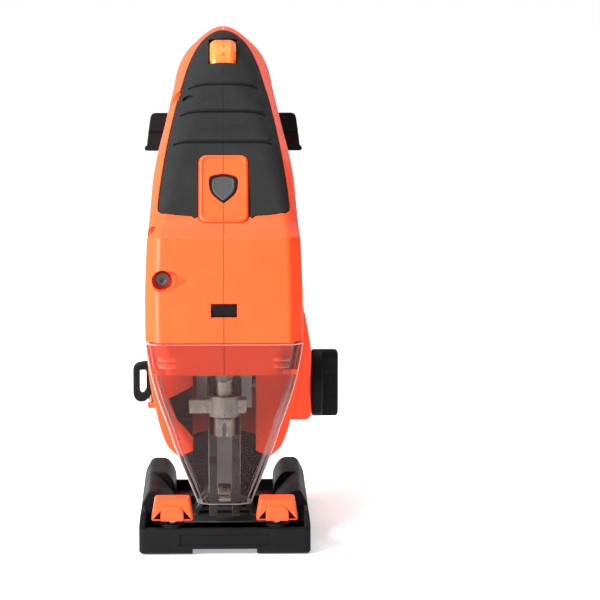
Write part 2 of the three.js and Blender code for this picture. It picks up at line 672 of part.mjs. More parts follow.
function buildClamps() {
  const face = outline([[-8.8, 13.9], [8.8, 13.9], [7.3, 22.8], [-7.3, 22.8]]);
  const knob = joined(
    extrudedY(face, -5.5, 5.5),
    extrudedY(outline([[-4.8, 13.9], [4.8, 13.9], [4.8, 20], [-4.8, 20]]), -6.6, 6.6),
  );
  const bore = bar('z', [0, 0], 2.3, 10, 20, 16);
  for (const [side, x] of [['right', -KNOB_X], ['left', KNOB_X]]) {
    add(`clamp_knob_${side}`, cut(knob, bore).translate([x, CLAMP_Y, 0]), 'orange');
    add(`clamp_screw_${side}`, bar('z', [x, CLAMP_Y], 2, 6.2, 19.7, 16), 'steel');
  }
}

// ---- battery, in its own tilted frame: +Y runs back from the pack's front face ----

function buildBattery() {
  const pack = new THREE.Group();
  packFrame.decompose(pack.position, pack.quaternion, pack.scale);
  jigsaw.add(pack);
  const { half, length, depth } = PACK;
  const middle = -9;
  const lowerFace = outline([[-half, -depth], [half, -depth], [half, -depth + 2], [half - 1, -depth + 2.4],
    [half - 1.7, middle], [-half + 1.7, middle], [-half + 1, -depth + 2.4], [-half, -depth + 2]]);
  const upperFace = outline([[-half + 1.7, middle + GAP], [half - 1.7, middle + GAP], [half - 3, 0],
    [-half + 3, 0]]);
  const room = block([-33, 33], [2, length - 2], [-depth + 1.6, middle + 7.4]);
  const lower = cut(extrudedY(lowerFace, 0, length), room);
  const tRail = joined(
    block([-15.2, 15.2], [17, length - 1], [-1, 5]),
    block([-19.2, 19.2], [17, length - 1], [3.8, 9.4]),
  );
  const latchWell = block([-8.3, 8.3], [length - 17.3, length - 5.7], [2, 12]);
  const bladeSlots = [-8, 0, 8].map((x) => block([x - 1, x + 1], [16, 28], [4.6, 11]));
  const railPart = cut(tRail, latchWell, ...bladeSlots);
  const upper = cut(joined(extrudedY(upperFace, 0, length), railPart), room);
  add('battery_lower_shell', lower, 'black', pack);
  add('battery_upper_shell', upper, 'black', pack);
  for (let i = 0; i < 5; i += 1) {
    const y = 11 + 17 * i;
    add(`battery_cell_${i + 1}`, bar('x', [y, -8.8], 6.8, -32, 32, 20), 'cell', pack);
  }
  add('battery_latch', block([-8, 8], [length - 17, length - 6], [5.4, 10.4]), 'black', pack);
  const blades = [-8, 0, 8].map((x) => block([x - 0.5, x + 0.5], [13, 25], [5.4, 8.6]));
  add('terminal_block', joined(block([-12, 12], [2, 14], [4.4, 9.4]), ...blades), 'black', pack);
}

buildHousing();
buildGrip();
buildControls();
buildTrigger();
buildDrive();
buildPlunger();
buildGuide();
buildSelector();
buildLever();
buildCover();
buildShoe();
buildClamps();
buildBattery();

export default jigsaw;
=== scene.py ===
"""The looks of a cordless jigsaw, built round its CAD frame.

Sizes are in millimetres and turn into metres where a mesh is made. The origin is on the shoe's sole, on
its centre line, 52 mm behind its front edge. The tool's front faces -Y, +X is the user's left and +Z is up.
"""
import math

import bmesh
import bpy
from mathutils import Matrix, Vector


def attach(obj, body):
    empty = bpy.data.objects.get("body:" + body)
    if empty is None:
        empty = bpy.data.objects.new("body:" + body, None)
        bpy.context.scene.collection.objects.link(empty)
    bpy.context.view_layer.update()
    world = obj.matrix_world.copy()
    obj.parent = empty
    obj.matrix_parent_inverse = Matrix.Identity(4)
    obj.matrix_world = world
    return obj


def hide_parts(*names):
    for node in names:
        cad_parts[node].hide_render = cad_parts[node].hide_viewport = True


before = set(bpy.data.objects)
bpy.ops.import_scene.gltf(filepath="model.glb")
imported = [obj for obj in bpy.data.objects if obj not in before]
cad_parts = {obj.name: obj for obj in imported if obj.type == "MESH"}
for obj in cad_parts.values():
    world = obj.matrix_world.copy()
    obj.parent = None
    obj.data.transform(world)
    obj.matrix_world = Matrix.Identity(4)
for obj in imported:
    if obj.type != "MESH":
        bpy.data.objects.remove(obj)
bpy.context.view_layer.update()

MM = 0.001

# Driving dimensions, the same as the CAD part's
WALL = 2.5
SEAM = 0.12  # half of the gap between the casing's halves
BARREL = {"z": 84, "radius": 31, "rear": 111}
SHOE = {"half": 36, "front": -52, "rear": 60}
BUMPER_REAR = -38.2
SHOE_SWING = 38.2  # what the tilting shoe needs free about the sole's centre line
BEVEL_SCALE = {"radius": 37.8, "front": 27.3, "rear": 29.3}  # round plate that stands behind the arch
PLUNGER_Y = -17.5
KNOB_X, CLAMP_Y = 22, -45
KNOB = {"low": 13.9, "shoulder": 20, "high": 22.8}
ROOF = {"low": 73.4, "high": 75.6}  # the plate over the open space behind the cover
LEVER_PIN = {"centre": (-31.6, -3), "radius": 1.5}
SELECTOR = {"y": 3, "z": 62.8, "radius": 14.5, "from": 37.7, "to": 49.2}
DIAL = {"y": 70.4, "z": 191, "radius": 15, "half": 5.8}
PACK = {"half": 36.4, "length": 92, "depth": 17.6}
SCREWS = [(-14.9, 130.2), (11.5, 131.5), (47, 182), (97, 186), (97, 128), (104, 84)]
FRONT_WELL = {"x": -25.8, "z": 112.4, "radius": 4.2, "floor": -24.5}

PACK_FRAME = Matrix.Translation((0, 114, 169.2)) @ Matrix.Rotation(math.radians(-6), 4, "X")
SLOPE_FRAME = Matrix.Translation((0, -5.7, 148.2)) @ Matrix.Rotation(math.atan2(27, 20), 4, "X")
PANEL_FRAME = Matrix.Rotation(math.radians(40.5), 4, "X")
TRIGGER_FRAME = Matrix.Translation((0, 31.5, 143.5)) @ Matrix.Rotation(math.atan2(13, 23), 4, "X")


# ---- solids ----

def solid(points, faces):
    """A closed mesh object from points in millimetres, its faces turned outwards."""
    mesh = bpy.data.meshes.new("solid")
    mesh.from_pydata([tuple(Vector(p) * MM) for p in points], [], faces)
    draft = bmesh.new()
    draft.from_mesh(mesh)
    bmesh.ops.recalc_face_normals(draft, faces=draft.faces)
    draft.to_mesh(mesh)
    draft.free()
    piece = bpy.data.objects.new("solid", mesh)
    bpy.context.scene.collection.objects.link(piece)
    return piece


def loft(rings):
    """A skin over rings of points, closed by a flat face at each end."""
    count = len(rings[0])
    points = [p for ring in rings for p in ring]
    last = len(points) - count
    faces = [list(range(count)), [last + i for i in range(count)]]
    for r in range(len(rings) - 1):
        for i in range(count):
            j = (i + 1) % count
            faces.append([r * count + i, r * count + j, (r + 1) * count + j, (r + 1) * count + i])
    return solid(points, faces)


def rounded(corners, radius, steps=5):
    """An outline with its corners rounded; radius is one number, or one for each corner."""
    radii = radius if isinstance(radius, (list, tuple)) else [radius] * len(corners)
    outline = []
    for i, corner in enumerate(corners):
        here = Vector(corner)
        ends = []
        for other in (Vector(corners[i - 1]), Vector(corners[(i + 1) % len(corners)])):
            reach = other - here
            ends.append(here + reach * min(0.48, radii[i] / max(reach.length, 1e-6)))
        for s in range(steps + 1):
            t = s / steps
            outline.append((1 - t) ** 2 * ends[0] + 2 * t * (1 - t) * here + t * t * ends[1])
    return [tuple(p) for p in outline]


def mirrored(outline):
    """The other half of a two-sided outline, in the order that carries on round it."""
    return [(-x, v) for x, v in reversed(outline)]


def circle(radius, sides, centre):
    turn = 2 * math.pi / sides
    return [(centre[0] + radius * math.cos(i * turn), centre[1] + radius * math.sin(i * turn))
            for i in range(sides)]


def inset(outline, distance):
    """The outline moved inwards, along the bisector of each corner."""
    area = sum(a[0] * b[1] - b[0] * a[1] for a, b in zip(outline, outline[1:] + outline[:1]))
    side = 1 if area > 0 else -1
    moved = []
    for i, corner in enumerate(outline):
        here = Vector(corner)
        before = (here - Vector(outline[i - 1])).normalized()
        after = (Vector(outline[(i + 1) % len(outline)]) - here).normalized()
        normal = Vector((-before.y - after.y, before.x + after.x)) * side
        share = max(0.35, normal.length / 2)
        moved.append(tuple(here + normal.normalized() * distance / share))
    return moved


def soft_levels(start, end, radius, steps=3):
    """Insets and heights of a prism whose edges at both ends are rounded."""
    arc = [math.pi / 2 * s / steps for s in range(steps + 1)]
    low = [(radius * (1 - math.sin(a)), start + radius * (1 - math.cos(a))) for a in arc]
    high = [(inset_by, end + start - height) for inset_by, height in reversed(low)]
    return low + high


# How a flat outline (u, v) and a height w along an axis become a point
AXES = {"x": lambda u, v, w: (w, u, v), "y": lambda u, v, w: (u, w, v), "z": lambda u, v, w: (u, v, w)}


def stacked(outline, levels, axis="z", place=None):
    """Copies of an outline at several insets and heights, joined by a skin."""
    rings = []
    for inset_by, height in levels:
        flat = inset(outline, inset_by) if abs(inset_by) > 1e-6 else outline
        rings.append([Vector(AXES[axis](u, v, height)) for u, v in flat])
    if place is not None:
        rings = [[place @ p for p in ring] for ring in rings]
    return loft(rings)


def prism(outline, start, end, axis="z", place=None, soft=0.0):
    levels = soft_levels(start, end, soft) if soft else [(0, start), (0, end)]
    return stacked(outline, levels, axis, place)


def block(x, y, z, place=None, soft=0.0):
    outline = [(x[0], y[0]), (x[1], y[0]), (x[1], y[1]), (x[0], y[1])]
    if soft:
        outline = rounded(outline, soft, 3)
    return prism(outline, z[0], z[1], "z", place, soft)


def bar(axis, centre, radius, start, end, sides=48, soft=0.0):
    return prism(circle(radius, sides, centre), start, end, axis, soft=soft)


def turned(axis, centre, profile, sides):
    """A turned piece. The profile lists (radius, distance along the axis), and closes on itself."""
    count = len(profile)
    points, faces = [], []
    for i in range(sides):
        angle = 2 * math.pi * i / sides
        for radius, along in profile:
            u = centre[0] + radius * math.cos(angle)
            v = centre[1] + radius * math.sin(angle)
            points.append(AXES[axis](u, v, along))
        j = (i + 1) % sides
        for k in range(count):
            m = (k + 1) % count
            faces.append([i * count + k, i * count + m, j * count + m, j * count + k])
    return solid(points, faces)


def shifted(piece, offset):
    """The same solid, moved by an offset in millimetres."""
    piece.data.transform(Matrix.Translation(Vector(offset) * MM))
    return piece


def copied(piece):
    copy = piece.copy()
    copy.data = piece.data.copy()
    bpy.context.scene.collection.objects.link(copy)
    return copy


def discard(*pieces):
    for piece in pieces:
        mesh = piece.data
        bpy.data.objects.remove(piece)
        bpy.data.meshes.remove(mesh)


def settled(piece):
    """Applies a piece's modifiers to its mesh."""
    bpy.context.view_layer.update()
    graph = bpy.context.evaluated_depsgraph_get()
    mesh = bpy.data.meshes.new_from_object(piece.evaluated_get(graph))
    old = piece.data
    piece.modifiers.clear()
    piece.data = mesh
    bpy.data.meshes.remove(old)
    return piece


def combined(piece, operation, tools, keep=False):
    for tool in tools:
        step = piece.modifiers.new("step", "BOOLEAN")
        step.operation = operation
        step.solver = "MANIFOLD"
        step.object = tool
        settled(piece)
        if not keep:
            discard(tool)
    return piece


def joined(piece, *tools):
    return combined(piece, "UNION", tools)


def cut(piece, *tools):
    return combined(piece, "DIFFERENCE", tools)


def within(piece, *tools, keep=False):
    return combined(piece, "INTERSECT", tools, keep)


def smooth(piece, degrees=32):
    """Smooth shading, broken at edges sharper than the angle."""
    mesh = piece.data
    mesh.polygons.foreach_set("use_smooth", [True] * len(mesh.polygons))
    mesh.set_sharp_from_angle(angle=math.radians(degrees))
    even = piece.modifiers.new("even_normals", "WEIGHTED_NORMAL")
    even.keep_sharp = True
    return piece


def shown(piece, name, body, slot, *nodes, degrees=32, finish=None):
    """Gives a finished piece its name, material and body, in place of CAD nodes."""
    piece.name = name
    piece.data.materials.clear()
    piece.data.materials.append(MATERIALS[finish or slot])
    for polygon in piece.data.polygons:
        polygon.material_index = 0
    smooth(piece, degrees)
    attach(piece, body)
    if nodes:
        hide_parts(*nodes)
    return piece


# ---- materials ----

PATCHES, SMUDGES = 45, 140  # how often a finish's shade and its gloss vary, in a metre
# Radius of the rounding that finds the edges which get a painted highlight, in millimetres
HIGHLIGHT_EDGE_RADIUS = 0.45


def linked(tree, kind, **inputs):
    """A node of a kind, with values or other nodes' outputs on its inputs."""
    node = tree.nodes.new(kind)
    for name, value in inputs.items():
        socket = node.inputs[name.replace("_", " ")]
        if isinstance(value, bpy.types.NodeSocket):
            tree.links.new(value, socket)
        else:
            socket.default_value = value
    return node


def noise(tree, place, scale, detail=3.0, roughness=0.5):
    return linked(tree, "ShaderNodeTexNoise", Vector=place, Scale=scale, Detail=detail,
                  Roughness=roughness).outputs["Fac"]


def spread(tree, value, low, high, start=0.3, end=0.7):
    """A 0-1 value's middle range, spread between low and high."""
    node = linked(tree, "ShaderNodeMapRange", Value=value)
    node.inputs["From Min"].default_value = start
    node.inputs["From Max"].default_value = end
    node.inputs["To Min"].default_value = low
    node.inputs["To Max"].default_value = high
    return node.outputs["Result"]


def blended(tree, factor, first, second):
    node = tree.nodes.new("ShaderNodeMix")
    node.data_type = "RGBA"
    tree.links.new(factor, node.inputs["Factor"])
    for socket, value in ((node.inputs["A"], first), (node.inputs["B"], second)):
        if isinstance(value, bpy.types.NodeSocket):
            tree.links.new(value, socket)
        else:
            socket.default_value = (*value, 1)
    return node.outputs["Result"]


def edge_wear(tree, highlight_breakup):
    """Painted highlight: near 1 along sharp edges, broken up by a noise; it lightens the colour where light
    would catch the edges.
    """
    bevel = tree.nodes.new("ShaderNodeBevel")
    bevel.samples = 3
    bevel.inputs["Radius"].default_value = HIGHLIGHT_EDGE_RADIUS * MM
    face = tree.nodes.new("ShaderNodeNewGeometry").outputs["True Normal"]
    dot = tree.nodes.new("ShaderNodeVectorMath")
    dot.operation = "DOT_PRODUCT"
    tree.links.new(bevel.outputs["Normal"], dot.inputs[0])
    tree.links.new(face, dot.inputs[1])
    edge = spread(tree, dot.outputs["Value"], 1.0, 0.0, 0.80, 0.985)
    mask = tree.nodes.new("ShaderNodeMath")
    mask.operation = "MULTIPLY"
    tree.links.new(edge, mask.inputs[0])
    tree.links.new(spread(tree, highlight_breakup, 0.0, 1.0, 0.42, 0.66), mask.inputs[1])
    return mask.outputs["Value"], bevel.outputs["Normal"]


def finish_of(name, colour, other, rough, grain, depth, metal=0.0, edge_highlight=None, streak=(1, 1, 1), shine=0.5):
    """A procedural finish: two shades in patches, a grain in relief, uneven gloss and a painted highlight
    along sharp edges.

    rough is the lowest and highest roughness, grain the grain's size and depth its height in millimetres.
    streak stretches the patches along an axis, for brushed or drawn surfaces.
    """
    made = bpy.data.materials.new(name)
    made.use_nodes = True
    tree = made.node_tree
    shader = tree.nodes["Principled BSDF"]
    place = tree.nodes.new("ShaderNodeTexCoord").outputs["Object"]
    drawn = linked(tree, "ShaderNodeVectorMath", Vector=place)
    drawn.operation = "MULTIPLY"
    drawn.inputs[1].default_value = streak
    patches = noise(tree, drawn.outputs["Vector"], PATCHES, 6, 0.6)
    fine = noise(tree, drawn.outputs["Vector"], 1 / (grain * MM), 2)
    smudges = noise(tree, place, SMUDGES, 4, 0.65)
    tint = blended(tree, spread(tree, patches, 0, 1), colour, other)
    speck = blended(tree, spread(tree, fine, 0, 0.35, 0.35, 0.75), tint, other)
    # Sharp edges are lightened towards the lighter edge colour given: a painted highlight where light would
    # catch them
    if edge_highlight is not None:
        edge_light, normal = edge_wear(tree, smudges)
        tint = blended(tree, edge_light, speck, edge_highlight)
    else:
        tint, normal = speck, None
    tree.links.new(tint, shader.inputs["Base Color"])
    gloss = spread(tree, smudges, rough[0], rough[1])
    tree.links.new(gloss, shader.inputs["Roughness"])
    relief = linked(tree, "ShaderNodeBump", Height=fine, Strength=1.0, Distance=depth * MM)
    if normal is not None:
        tree.links.new(normal, relief.inputs["Normal"])
    tree.links.new(relief.outputs["Normal"], shader.inputs["Normal"])
    shader.inputs["Metallic"].default_value = metal
    shader.inputs["Specular IOR Level"].default_value = shine
    return made


def clear_finish(name):
    """Clear moulded plastic: thin and smoky where it is faced, whiter and more solid seen edge-on."""
    smoke, edge = (0.020, 0.007, 0.006), (0.86, 0.78, 0.76)
    made = finish_of(name, smoke, smoke, (0.04, 0.10), 6.0, 0.002)
    tree = made.node_tree
    shader = tree.nodes["Principled BSDF"]
    facing = tree.nodes.new("ShaderNodeLayerWeight")
    facing.inputs["Blend"].default_value = 0.5
    seen = facing.outputs["Facing"]
    whitened = blended(tree, spread(tree, seen, 0, 1, 0.35, 0.9), smoke, edge)
    tree.links.new(whitened, shader.inputs["Base Color"])
    tree.links.new(spread(tree, seen, 0.24, 0.85, 0.25, 0.9), shader.inputs["Alpha"])
    shader.inputs["Specular IOR Level"].default_value = 0.3
    return made


# A finish's lighter edge colour, where one is given, is a painted highlight along its sharp edges
def make_materials():
    return {
        "orange_plastic": finish_of("orange_plastic", (0.93, 0.066, 0.012), (0.87, 0.056, 0.010),
                                    (0.38, 0.50), 0.55, 0.035, edge_highlight=(0.95, 0.13, 0.035), shine=0.22),
        "grip_rubber": finish_of("grip_rubber", (0.0125, 0.0125, 0.013), (0.008, 0.008, 0.0085),
                                 (0.62, 0.80), 0.40, 0.07, edge_highlight=(0.026, 0.026, 0.027), shine=0.10),
        "black_plastic": finish_of("black_plastic", (0.0055, 0.0055, 0.006), (0.0035, 0.0035, 0.004),
                                   (0.45, 0.60), 0.50, 0.05, edge_highlight=(0.020, 0.020, 0.022), shine=0.07),
        "dial_plastic": finish_of("dial_plastic", (0.90, 0.135, 0.004), (0.82, 0.11, 0.003),
                                  (0.32, 0.45), 0.5, 0.03, edge_highlight=(1.0, 0.36, 0.08)),
        "clear_plastic": clear_finish("clear_plastic"),
        "bright_steel": finish_of("bright_steel", (0.34, 0.30, 0.26), (0.24, 0.21, 0.18),
                                  (0.20, 0.40), 0.25, 0.012, 1.0, (0.75, 0.72, 0.68), (1, 1, 6)),
        "dark_steel": finish_of("dark_steel", (0.075, 0.072, 0.070), (0.045, 0.043, 0.042),
                                (0.35, 0.55), 0.30, 0.02, 0.8, (0.35, 0.33, 0.31)),
        "cast_aluminium": finish_of("cast_aluminium", (0.42, 0.42, 0.41), (0.33, 0.33, 0.32),
                                    (0.40, 0.62), 0.45, 0.05, 0.9, (0.62, 0.62, 0.61)),
        "bronze": finish_of("bronze", (0.42, 0.24, 0.09), (0.33, 0.18, 0.06),
                            (0.30, 0.48), 0.35, 0.02, 0.9, (0.62, 0.42, 0.20)),
        "circuit_board": finish_of("circuit_board", (0.012, 0.11, 0.036), (0.008, 0.08, 0.026),
                                   (0.35, 0.5), 0.6, 0.02, edge_highlight=(0.25, 0.22, 0.10)),
        "copper_winding": finish_of("copper_winding", (0.42, 0.13, 0.045), (0.28, 0.08, 0.03),
                                    (0.30, 0.50), 0.30, 0.05, 0.8, (0.62, 0.28, 0.14), (1, 8, 1)),
        "cell_can": finish_of("cell_can", (0.03, 0.12, 0.38), (0.025, 0.10, 0.32),
                              (0.30, 0.42), 0.7, 0.01, edge_highlight=(0.35, 0.38, 0.42)),
        "shield_grey": finish_of("shield_grey", (0.034, 0.035, 0.037), (0.028, 0.029, 0.030),
                                 (0.42, 0.55), 0.45, 0.04, edge_highlight=(0.07, 0.07, 0.075), shine=0.2),
        "mark_red": finish_of("mark_red", (0.62, 0.03, 0.01), (0.52, 0.02, 0.01),
                              (0.4, 0.5), 0.4, 0.01),
    }


MATERIALS = make_materials()


# ---- the casing's sections ----

def station(outer, inner, half, flat, slope, bend, back):
    """One section of the casing: its front or top point, its rear or bottom point, its half-width,
    the half-width of its flat front, how far the side facets fall back, the rounding of the front
    corners, and the size of the rear corners."""
    return (*outer, *inner, half, flat, slope, bend, back)


def section(values):
    outer, inner = Vector(values[:2]), Vector(values[2:4])
    half, flat, slope, bend, back = values[4:]
    depth = (outer - inner).length / 2
    side = [(flat, depth), (half, depth - slope), (half, back - depth), (half - back, -depth)]
    corners = side + mirrored(side)
    radii = [bend, bend, back * 0.8, back * 0.8]
    centre = (outer + inner) / 2
    along = (outer - inner).normalized()
    ring = []
    for x, t in rounded(corners, radii + radii[::-1], 6):
        point = centre + along * t
        ring.append((x, point.x, point.y))
    return ring


def hermite(t):
    """How much of a curve's start, end, leaving slope and arriving slope counts at t, from 0 to 1."""
    return (2 * t ** 3 - 3 * t ** 2 + 1, 3 * t ** 2 - 2 * t ** 3, t ** 3 - 2 * t ** 2 + t, t ** 3 - t ** 2)


def smoothed(run, steps):
    """More sections between those of a run, on smooth curves through them."""
    knots = [0.0]
    for a, b in zip(run, run[1:]):
        knots.append(knots[-1] + math.dist(a[:2], b[:2]) + math.dist(a[2:4], b[2:4]))

    def slope_at(i, k):
        low, high = max(i - 1, 0), min(i + 1, len(run) - 1)
        return (run[high][k] - run[low][k]) / (knots[high] - knots[low])

    result = []
    for i in range(len(run) - 1):
        length = knots[i + 1] - knots[i]
        for s in range(steps):
            start, end, leave, arrive = hermite(s / steps)
            result.append(tuple(
                start * run[i][k] + end * run[i + 1][k]
                + length * (leave * slope_at(i, k) + arrive * slope_at(i + 1, k))
                for k in range(len(run[i]))))
    return result + [run[-1]]


def shrunk(stations, wall):
    thinner = []
    for values in stations:
        outer, inner = Vector(values[:2]), Vector(values[2:4])
        step = (outer - inner).normalized() * wall
        half, flat, slope, bend, back = values[4:]
        thinner.append(station(outer - step, inner + step, half - wall, flat - wall / 2, slope,
                               max(0.5, bend - wall), max(1.0, back - wall / 2)))
    return thinner


JAW = [  # the lower front, inside and behind the dust cover
    station((-37, 37), (28, 37), 16.1, 11.0, 5, 2, 4),
    station((-37.3, 50), (29, 50), 20.6, 15.5, 5, 2, 4),
    station((-37.8, 63), (30, 63), 25.2, 20.0, 5, 2, 4),
    station((-38.2, 87), (30, 87), 29.9, 24.7, 5, 2, 4),
]
FACE = [  # the orange front face
    station((-40, 87.6), (29, 87.6), 33.2, 28.0, 6, 1.6, 6),
    station((-37.2, 96), (26, 95), 33.3, 28.2, 6, 1.6, 6),
    station((-32.8, 109), (22, 107), 33.3, 28.2, 6, 1.6, 6),
    station((-25.5, 130), (16, 119), 32.6, 27.6, 6, 1.6, 7),
]
GRIP = [  # from the face's top edge, over the handle and down behind the fingers
    station((-25.5, 130), (16, 119), 32.6, 27.6, 6, 1.6, 7),
    station((-14, 137), (14, 124), 31.9, 27.2, 6, 3, 8),
    station((6, 164), (20, 137), 30.2, 22.0, 9, 7, 9),
    station((37, 186), (43, 150), 26.0, 14.0, 12, 9, 10),
    station((65, 202), (66, 161), 22.6, 8.5, 13.5, 9, 11),
    station((85, 209.2), (83, 168), 21.1, 5.5, 14.5, 9, 11),
    station((107, 207.5), (90, 162), 20.0, 5.0, 14.5, 9, 10),
    station((112.5, 178), (88, 150), 19.0, 10.0, 9, 8, 9),
    station((111.5, 150), (84, 133), 18.5, 10.0, 8, 8, 9),
    station((110, 125), (81, 112), 18.5, 10.0, 8, 8, 9),
    station((106, 100), (79, 98), 18.5, 10.0, 8, 8, 9),
]
FOOT = [  # the battery foot, behind the handle
    station((92, 204), (92, 186), 15.0, 6, 7, 5, 5),
    station((113.6, 203), (113.6, 168), 21.0, 6, 14, 8, 5),
    station((118, 201.5), (118, 160), 22.0, 7, 14, 8, 5),
    station((140, 195), (140, 158), 23.0, 11, 12, 8, 5),
    station((183, 185), (183, 154), 23.5, 14, 9, 7, 4),
    station((185, 183.5), (185, 155), 22.0, 13, 8, 6, 4),
]

# Half of the lower housing's front view, from its top to its open bottom
FLANKS = [(33.1, 87.6), (32.8, 75), (32.0, 66), (30.5, 58), (27.5, 45), (24.7, 37.5), (22, 35),
          (19.5, 32.8)]
COVER = [
    station((-38, 18), (30, 18), 11.3, 7.5, 2.6, 1.2, 3),
    station((-38.6, 41), (30, 41), 20.5, 16.6, 2.8, 1.2, 3),
    station((-38.9, 50), (30, 50), 23.4, 19.4, 3.0, 1.2, 3),
    station((-39.6, 63), (30, 63), 28.0, 23.8, 3.2, 1.2, 3),
    station((-40, 75), (30, 75), 31.2, 27.0, 3.4, 1.2, 3),
    station((-40.5, 86.7), (30, 86.7), 33.2, 29.0, 3.4, 1.2, 3),
]

JAW_RUN = smoothed(JAW, 3)
FACE_RUN = smoothed(FACE, 4)
GRIP_STEPS = 8
GRIP_RUN = smoothed(GRIP, GRIP_STEPS)
FOOT_RUN = smoothed(FOOT, 6)


def casing(stations):
    return loft([section(values) for values in stations])


def front_casing(sunk=0.0):
    """The face and the top of the handle, where the rubber panel lies; sunk moves it into the body."""
    top = casing(FACE_RUN[:-1] + GRIP_RUN[:6 * GRIP_STEPS + 1])
    return shifted(top, (0, 0.85 * sunk, -sunk))


def layer(top, bottom):
    """What lies between two depths under the casing's front and top."""
    return cut(front_casing(top), front_casing(bottom))


def shield(width, height):
    """A generic shield outline, its point down."""
    corners = [(0, -height / 2), (width / 2, -height / 7), (width / 2, height / 2.6), (0, height / 2),
               (-width / 2, height / 2.6), (-width / 2, -height / 7)]
    return rounded(corners, [1.2, 4, 1.6, 5, 1.6, 4], 5)


def curved(points, steps):
    """A smooth open line through points."""
    line = []
    for i in range(len(points) - 1):
        before, here = Vector(points[max(i - 1, 0)]), Vector(points[i])
        after, beyond = Vector(points[i + 1]), Vector(points[min(i + 2, len(points) - 1)])
        leaving, arriving = (after - before) / 2, (beyond - here) / 2
        for s in range(steps):
            start, end, leave, arrive = hermite(s / steps)
            line.append(tuple(start * here + end * after + leave * leaving + arrive * arriving))
    return line + [tuple(points[-1])]


# One side of the rubber panel, as (x, distance up the plane that leans back with the handle)
PANEL_SIDE = [(26.2, 81.0), (27.9, 84), (27.6, 90), (26.4, 100), (24.7, 112.5), (20.7, 145), (17.9, 161.7),
              (14.8, 178.2), (10.6, 191.5), (5.6, 199.2), (0, 202)]


def panel_border(margin):
    side = curved(PANEL_SIDE, 5)
    foot = [(0, 79.6), (10.5, 79.4), (12.2, 78.2), (13.6, 79.4), (20, 79.9)]
    half = foot + side
    return inset(half + mirrored(half[1:-1]), -margin)


def through_panel(outline):
    """A prism square to the rubber panel's plane, long enough to pass right through it."""
    return prism(outline, 70, 150, place=PANEL_FRAME)


def panel_block(margin):
    return through_panel(panel_border(margin))


def slope_cut(outline, start, end):
    return prism(outline, start, end, place=SLOPE_FRAME)


def pad_outline(half_width, half_height, radius):
    corners = [(-half_width, -half_height), (half_width, -half_height),
               (half_width, half_height), (-half_width, half_height)]
    return rounded(corners, radius, 8)


def dial_window():
    side = DIAL["half"] + 0.6
    return bar("x", (DIAL["y"], DIAL["z"]), DIAL["radius"] + 1, -side, side)


def screw_well(y, z):
    return bar("x", (y, z), 3.3, -40, -13, 32)


def flank_block(margin, front, rear):
    side = [(x - margin, z) for x, z in FLANKS]
    if margin:
        side.append((side[-1][0], 30))
    outline = side + mirrored(side)
    radii = [0.5] + [4] * (len(side) - 2) + [0.5]
    return prism(rounded(outline, radii + radii[::-1], 4), front, rear, "y", soft=0 if margin else 0.8)


def lever_mount():
    lugs = [rounded([(-33.1, low), (-33.1, high), (-24, high), (-24, low)], [1.1, 1.1, 0.2, 0.2])
            for low, high in ((75, 78), (53.2, 55.7))]
    back = block((-29.2, -26.6), (-8, 2), (54, 78))
    return joined(back, *(prism(lug, -5.2, -0.8, "y", soft=0.4) for lug in lugs))


def selector_pod():
    corners = [(20, 48.5), (37.4, 48.5), (37.4, 80), (34.6, 95), (29, 96), (24, 76)]
    return prism(rounded(corners, [1, 3, 3, 2, 1, 1]), -9.5, 15.5, "y", soft=1.2)


def chamber(rear):
    """The open space behind the dust cover, where the blade is changed."""
    return block((-45, 45), (-50, rear), (25, ROOF["low"]))


def outer_casing():
    whole = casing(JAW_RUN + FACE_RUN + GRIP_RUN[1:])
    r, rear = BARREL["radius"], BARREL["rear"]
    profile = [(0.01, 0), (r, 0), (r, rear - 14), (r - 0.8, rear - 13), (r - 0.8, rear - 5),
               (r - 2, rear - 2), (r - 5, rear), (0.01, rear)]
    barrel = turned("y", (0, BARREL["z"]), profile, 96)
    joined(whole, barrel, casing(FOOT_RUN))
    cut(whole, chamber(-11.5))
    joined(whole, flank_block(0, -11.5, 28))
    cut(whole, bar("y", (0, 0), SHOE_SWING, -12, 40, 128))
    return joined(whole, selector_pod(), lever_mount())


def inner_casing():
    lower = station((-37, 30), (28, 30), 16.1, 11.0, 5, 2, 4)
    hollow = casing(shrunk([lower, *JAW_RUN, *FACE_RUN, *GRIP_RUN[1:]], WALL))
    barrel = bar("y", (0, BARREL["z"]), BARREL["radius"] - WALL, 5, BARREL["rear"] - WALL)
    joined(hollow, barrel)
    cut(hollow, chamber(-9))
    joined(hollow, flank_block(WALL, -9, 25.5), block((-13.5, 13.5), (-12, 0), (30, ROOF["low"])))
    return cut(hollow, selector_pod())


def teardrop():
    """The thumb recess at the right of the face: round at the outer end, pointed inwards."""
    x, z, r = FRONT_WELL["x"], FRONT_WELL["z"], FRONT_WELL["radius"] + 0.3
    arc = [(x + r * math.cos(a), z + r * math.sin(a)) for a in
           (math.radians(60 + 10 * i) for i in range(25))]
    mouth = [*arc, (x + 4, z - r + 0.6), (x + 10, z + 0.2), (x + 4, z + r - 0.4)]
    return cut(prism(mouth, -45, -20, "y"), front_casing(2.1))


def vents():
    """Five upright slots through both sides of the barrel, near its rear."""
    first, pitch, width, low, high = 76, 6, 3, 78, 98
    slots = []
    for i in range(5):
        y = first + pitch * i
        outline = rounded([(y, low), (y + width, low), (y + width, high), (y, high)], 1.4)
        slots.append(prism(outline, -45, 45, "x"))
    return slots


def front_well(radius, rear):
    return bar("y", (FRONT_WELL["x"], FRONT_WELL["z"]), radius, -45, rear)


def lever_pin(sides):
    return bar("z", LEVER_PIN["centre"], LEVER_PIN["radius"], 50, 80, sides)


def battery_room():
    """The rail's slot in the battery foot, and the space that the pack itself takes."""
    return [
        block((-19.6, 19.6), (-0.6, 110), (-0.4, 10.2), PACK_FRAME),
        block((-40, 40), (-0.6, 110), (-30, 0.3), PACK_FRAME),
    ]


